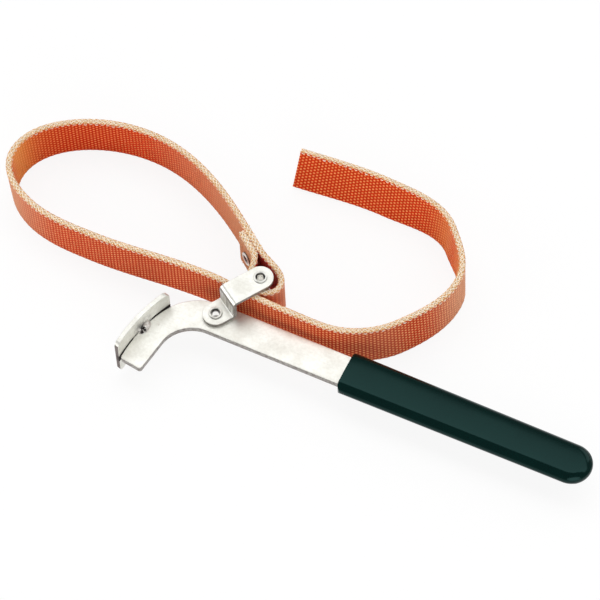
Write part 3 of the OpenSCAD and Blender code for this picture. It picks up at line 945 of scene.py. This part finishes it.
def crowned_grip(piece):
    """Crowns the grip's broad faces a little."""
    shape = open_shape(piece.data)
    for y in GRIP_SLICES_Y:
        slice_across(shape, 0, GRIP_MIDDLE + y, (0, 1, 0))
    for x in GRIP_SLICES_X:
        slice_across(shape, x, 0, (1, 0, 0))
    for v in shape.verts:
        x, y, z = v.co.x / MM, v.co.y / MM - GRIP_MIDDLE, v.co.z / MM
        off_bar = max(abs(y) - CLEAR_OF_BAR_W, abs(z) - CLEAR_OF_BAR_T)
        if off_bar < 0:
            continue
        half_width = GRIP_START_HALF_W - GRIP_FLARE * share_between(x, GRIP_START, GRIP_TURN)
        off_spine = math.hypot(max(0.0, x - GRIP_TURN), y) / half_width
        outside = share_between(off_bar, 0.0, GRIP_CROWN_FROM_BAR)
        v.co.z *= 1 + outside * (GRIP_CROWN - GRIP_FALL * min(off_spine ** 2, off_spine))
    shape.normal_update()
    close_shape(shape, piece.data)
    smooth_shading(piece.data, sharp_angle=40)


def mark_faces(piece, label, test, share=1.0):
    """Marks the faces that pass the test, for the finish to read."""
    marks = [share if test(f) else 0.0 for f in piece.data.polygons]
    mark(piece.data, label, marks, domain="FACE")


def is_upright(face):
    return abs(face.normal.z) < 0.5


def is_bend(face):
    return is_upright(face) and face.area > BROAD_BEND_AREA * MM * MM


def is_cut_edge(face):
    return is_upright(face) and not is_bend(face)


def is_shoe_end(face):
    outward = (face.center / MM - SHOE_CENTRE).xy.normalized()
    return is_upright(face) and abs(outward.dot(face.normal.xy)) < 0.6


def mark_gap_side(shoe):
    """Marks the shoe's face towards the bar, where the gap beside the weld lies in the dark and its shade
    is painted.
    """
    reaches = [(v.co / MM - SHOE_CENTRE).xy.length for v in shoe.data.vertices]
    mark(shoe.data, "gap_side", [1.0 if reach < SHOE_MIDDLE_R else 0.0 for reach in reaches])


# Hollow rivets with rolled collars, turned on a lathe

LONG_RIVET, LONG_MOUTH, SHORT_MOUTH, BORE_DEPTH, ROLL_STEPS = 20, 1.1, 2.0, 4.2, 15


def turned_piece(name, outline, lay, segments=72):
    """Spins a closed outline of (radius, height, painted shade) about Z, then lays it in its place."""
    points, faces, n = [], [], len(outline)
    for k in range(segments):
        a = 2 * math.pi * k / segments
        points += [(r * math.cos(a), r * math.sin(a), z) for r, z, oil in outline]
    for k in range(segments):
        here, next_one = k * n, (k + 1) % segments * n
        for i in range(n):
            j = (i + 1) % n
            faces.append((here + i, next_one + i, next_one + j, here + j))
    mesh = mesh_of(name, points, faces)
    mesh.transform(lay)
    bore = min(r for r, z, oil in outline)
    mark(mesh, "oil", [oil for r, z, oil in outline] * segments)
    mark(mesh, "polished_bore", [1.0 if r == bore else 0.0 for r, z, oil in outline] * segments)
    face_outwards(mesh)
    smooth_shading(mesh, sharp_angle=48)
    return add_object(name, mesh)


def rolled_rivet(name, grip_len, bore, flange, lay):
    """A tube whose two ends are rolled over into round collars, with painted shade in its mouths and at
    their feet.
    """
    half, crown = grip_len / 2, (flange - bore) / 2
    middle, top = bore + crown, half + FLANGE_BASE
    dark = LONG_MOUTH if grip_len > LONG_RIVET else SHORT_MOUTH
    mouth = ((min(BORE_DEPTH, top * 0.85), 0.0), (dark + 0.9, 0.1), (dark, 0.85), (0.2, 0.95))
    upper = [(bore, top - depth, oil) for depth, oil in mouth]
    for a in np.linspace(math.pi, 0, ROLL_STEPS):
        half_turn = a / math.pi
        oil = max(0.85 * max(0.0, half_turn - 0.66) / 0.34, 0.7 * max(0.0, 0.2 - half_turn) / 0.2)
        upper.append((middle + crown * math.cos(a), top + crown * math.sin(a), oil))
    upper += [(flange, half + 0.12, 0.8), (flange - 0.1, half, 0.9), (bore + RIVET_WALL, half, 0.9)]
    lower = [(r, -z, oil) for r, z, oil in reversed(upper)]
    return turned_piece(name, upper + lower, lay)


# The weld: a lumpy bead with a pit, and small beads of spatter

PIT_X, PIT_Y, PIT_Z, PIT_REACH, PIT_DEPTH = -28.8, -22.3, 2.6, 2.0, 1.1
LUMP_HEIGHT, LUMPS_FROM_BAR, LONG_EDGE = 0.16, 0.8, 0.5
SPATTER_PATCH = ((-26.2, -26.0), (-24.6, -23.0), (-22.6, -15.5), (-25.2, -14.8), (-27.0, -19.5))


def lumpy_weld(node, name, material, up):
    mesh, shape = merged_copy(node, name)
    bmesh.ops.triangulate(shape, faces=shape.faces)
    long_edges = [e for e in shape.edges if e.calc_length() > LONG_EDGE * MM]
    bmesh.ops.subdivide_edges(shape, edges=long_edges, cuts=2, use_grid_fill=True)
    bmesh.ops.triangulate(shape, faces=shape.faces)
    shape.normal_update()
    pit = Vector((PIT_X, PIT_Y, up * PIT_Z)) * MM
    for v in shape.verts:
        x, y, z = v.co / MM
        lump = math.sin(2.9 * x + 1.3) * math.sin(2.3 * y - 0.4) + 0.6 * math.sin(5.1 * y + 3.7 * z * up)
        off_bar = share_between(up * z - CLEAR_OF_BAR_T, 0.0, LUMPS_FROM_BAR)
        v.co += v.normal * LUMP_HEIGHT * MM * lump * off_bar
        near = max(0.0, 1 - (v.co - pit).length / (PIT_REACH * MM))
        v.co -= v.normal * PIT_DEPTH * MM * near * off_bar
    close_shape(shape, mesh)
    smooth_shading(mesh, sharp_angle=60)
    piece = add_object(name, mesh)
    paint(piece, material)
    return piece


def spatter_tree():
    tree, given, result = node_group("weld_spatter", "GeometryNodeTree", [
        GEOMETRY_IN,
        ("Bead radius", "Float", 0.34 * MM),
        ("Density", "Float", 260000.0),
        ("Seed", "Int", 4),
        ("Material", "Material", None),
    ], [GEOMETRY_OUT])
    spread = put(tree, "GeometryNodeDistributePointsOnFaces", {
        "Mesh": given["Geometry"], "Density": given["Density"], "Seed": given["Seed"]})
    bead = made(tree, "GeometryNodeMeshIcoSphere", {"Radius": given["Bead radius"], "Subdivisions": 2})
    size = chance(tree, 0.25, 1.0, given["Seed"]) ** 2.0
    placed = made(tree, "GeometryNodeInstanceOnPoints", {
        "Points": Field(tree, spread.outputs["Points"]),
        "Rotation": Field(tree, spread.outputs["Rotation"]),
        "Instance": bead,
        "Scale": vector_of(tree, size, size, size * 0.6)})
    feed(result["Geometry"], real_and_painted(placed, given["Material"]))
    return tree


def weld_spatter(material):
    """Patches on the bar's two faces beside the weld, beaded over."""
    points, faces = [], []
    for up in (1, -1):
        corners = range(len(points), len(points) + len(SPATTER_PATCH))
        points += [(x, y, up * BAR_HALF_T) for x, y in SPATTER_PATCH]
        faces.append(tuple(corners)[::up])
    piece = add_object("weld_spatter", mesh_of("weld_spatter", points, faces))
    return run_tree(piece, spatter_tree(), {"Material": material})


# Stage, light and camera

FLOOR_REACH, FLOOR_GAP, FLOOR_WASH = 8, 0.00005, 0.88
LAMPS = (
    # Name, strength, angle, direction to the lamp, seen in glossy faces
    ("key", 0.7, 60, (-0.35, 0.45, 0.82), False),
    ("left_fill", 1.1, 50, (-0.8, -0.55, 0.25), True),
    ("right_fill", 1.1, 50, (0.6, -0.76, 0.25), True),
    ("back_fill", 0.4, 40, (0.25, 0.85, 0.45), True),
)
CAMERA_RISE, CAMERA_TURN, CAMERA_ROLL = 59, 28.35, 3
FRAME_PX, FOCAL_PX, PX_PER_MM = 600, 3572.0, 2.045
RIVET_TOP_Z, RIVET_PX, RIVET_PY = 4.6, 215.5, 312.5
SENSOR_W = 36.0


def seen_directly(tree):
    """1 where the camera, a gloss or a clear piece looks at the surface."""
    path = {s.name: Field(tree, s) for s in put(tree, "ShaderNodeLightPath").outputs}
    return larger(larger(path["Is Camera Ray"], path["Is Glossy Ray"]), path["Is Transmission Ray"])


def white_floor():
    floor_z = min(cad_low.z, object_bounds()[0].z) - FLOOR_GAP
    sides = ((-1, -1), (1, -1), (1, 1), (-1, 1))
    corners = [(x * FLOOR_REACH, y * FLOOR_REACH, floor_z) for x, y in sides]
    mesh = bpy.data.meshes.new("floor")
    mesh.from_pydata(corners, [], [(0, 1, 2, 3)])
    floor = add_object("floor", mesh)
    m = bpy.data.materials.new("white_floor")
    m.use_nodes = True
    tree = m.node_tree
    tree.nodes.clear()
    plain = made(tree, "ShaderNodeBsdfDiffuse", {"Color": grey(0.96)})
    white = made(tree, "ShaderNodeEmission", {"Color": grey(1.0), "Strength": 1.0})
    washed = made(tree, "ShaderNodeMixShader", {0: seen_directly(tree) * FLOOR_WASH, 1: plain, 2: white})
    put(tree, "ShaderNodeOutputMaterial", {"Surface": washed})
    paint(floor, m)
    floor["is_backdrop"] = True


def studio_sky():
    """Soft grey all round, with a long softbox over the object and behind it, along the bar."""
    world = bpy.data.worlds.new("studio")
    bpy.context.scene.world = world
    world.use_nodes = True
    tree = world.node_tree
    tree.nodes.clear()
    outlook = made(tree, "ShaderNodeTexCoord", output="Generated")
    above_back = vector_calc("DOT_PRODUCT", outlook, (0.0, -0.814, 0.581))
    behind_front = vector_calc("DOT_PRODUCT", outlook, (0.0, 0.9945, -0.1045))
    off_middle = abs(parts_of(outlook)[0])
    box = above_back.ease(-0.02, 0.03) * behind_front.ease(-0.02, 0.03)
    box = box * (1.0 - off_middle.ease(0.7, 0.92))
    panel = blend(calc("DIVIDE", behind_front, 0.49, clamp=True), grey(2.2), grey(1.3))
    sky = made(tree, "ShaderNodeBackground", {"Color": blend(box, grey(0.35), panel), "Strength": 1.0})
    put(tree, "ShaderNodeOutputWorld", {"Surface": sky})


def lamps():
    for name, energy, angle, source, in_gloss in LAMPS:
        sun = bpy.data.lights.new(name, "SUN")
        sun.energy, sun.angle = energy, math.radians(angle)
        lamp = add_object(name, sun)
        lamp.rotation_euler = Vector(source).to_track_quat("Z", "Y").to_euler()
        lamp.visible_glossy = in_gloss


def photo_camera():
    rise, turn, roll = (math.radians(a) for a in (CAMERA_RISE, CAMERA_TURN, CAMERA_ROLL))
    back = Vector((math.sin(turn) * math.cos(rise), -math.cos(turn) * math.cos(rise), math.sin(rise)))
    level = Vector((math.cos(turn), math.sin(turn), 0))
    upright = back.cross(level)
    right = level * math.cos(roll) - upright * math.sin(roll)
    up = level * math.sin(roll) + upright * math.cos(roll)
    # The bar rivet's top stands at its own pixel, off the middle of the frame
    place = Vector((0, 0, RIVET_TOP_Z)) + back * FOCAL_PX / PX_PER_MM
    place -= right * (RIVET_PX - FRAME_PX / 2) / PX_PER_MM
    place += up * (RIVET_PY - FRAME_PX / 2) / PX_PER_MM
    data = bpy.data.cameras.new("photo_camera")
    data.sensor_width, data.lens = SENSOR_W, SENSOR_W * FOCAL_PX / FRAME_PX
    camera = add_object("photo_camera", data)
    turned = Matrix((right, up, back)).transposed().to_4x4()
    camera.matrix_world = Matrix.Translation(place * MM) @ turned
    bpy.context.scene.camera = camera


# Assembly

STEEL, WELD, VINYL = plated_steel(), weld_metal(), dipped_vinyl()
BELTING, YARN = woven_belting(), cotton_yarn()

bar = eased_copy("handle_bar", "eased_bar", BAR_EASE)
shoe = eased_copy("shoe", "eased_shoe", SHOE_EASE)
mark_gap_side(shoe)
# The bar's upright sides and the shoe's ends are marked for duller cut edges with painted shade
mark_faces(bar, "cut_edge_and_shade", is_upright)
mark_faces(shoe, "cut_edge_and_shade", is_shoe_end, SHOE_END_SHARE)
for plate, node in ((bar, "handle_bar"), (shoe, "shoe")):
    paint(plate, STEEL)
    finish_piece(plate, "handle", "plated_steel", node)
for node, name, up in (("upper_weld", "upper_bead", 1), ("lower_weld", "lower_bead", -1)):
    finish_piece(lumpy_weld(node, name, WELD, up), "handle", "weld_metal", node)
finish_piece(weld_spatter(WELD), "handle", "weld_metal")
grip = eased_copy("grip", "dipped_grip", GRIP_EASE, segments=4)
crowned_grip(grip)
paint(grip, VINYL)
finish_piece(grip, "handle", "dipped_vinyl", "grip")

for node, name in (("upper_link", "eased_upper_link"), ("lower_link", "eased_lower_link")):
    link = eased_copy(node, name, LINK_EASE)
    # The links' thin edges are marked for duller cut edges with painted shade
    mark_faces(link, "cut_edge_and_shade", is_cut_edge)
    mark_faces(link, "bent", is_bend)
    paint(link, STEEL)
    finish_piece(link, "link", "plated_steel", node)
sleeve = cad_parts["pin_sleeve"]
sleeve.material_slots[0].link = "OBJECT"
sleeve.material_slots[0].material = STEEL

strap_rivet_len = LAP_SHIFT + STRAP_T + STRAP_RIVET_PLAY
for name, body, node, grip_len, bore, flange, lay in (
    ("rolled_bar_rivet", "handle", "bar_rivet",
     BAR_RIVET_LEN, RIVET_BORE_R, RIVET_FLANGE_R, Matrix.Identity(4)),
    ("rolled_strap_pin", "link", "strap_pin",
     STRAP_PIN_LEN, RIVET_BORE_R, RIVET_FLANGE_R, at_place(*PIN)),
    ("rolled_strap_rivet", "strap", "strap_rivet",
     strap_rivet_len, STRAP_RIVET_BORE_R, STRAP_RIVET_FLANGE_R, LAP_LAY),
):
    rivet = rolled_rivet(name, grip_len, bore, flange, lay)
    paint(rivet, STEEL)
    finish_piece(rivet, body, "plated_steel", node)

finish_piece(woven_strap(BELTING), "strap", "webbing", "strap")
finish_piece(braided_edges(YARN), "strap", "webbing")

white_floor()
studio_sky()
lamps()
photo_camera()
bpy.context.scene.view_settings.view_transform = "Standard"
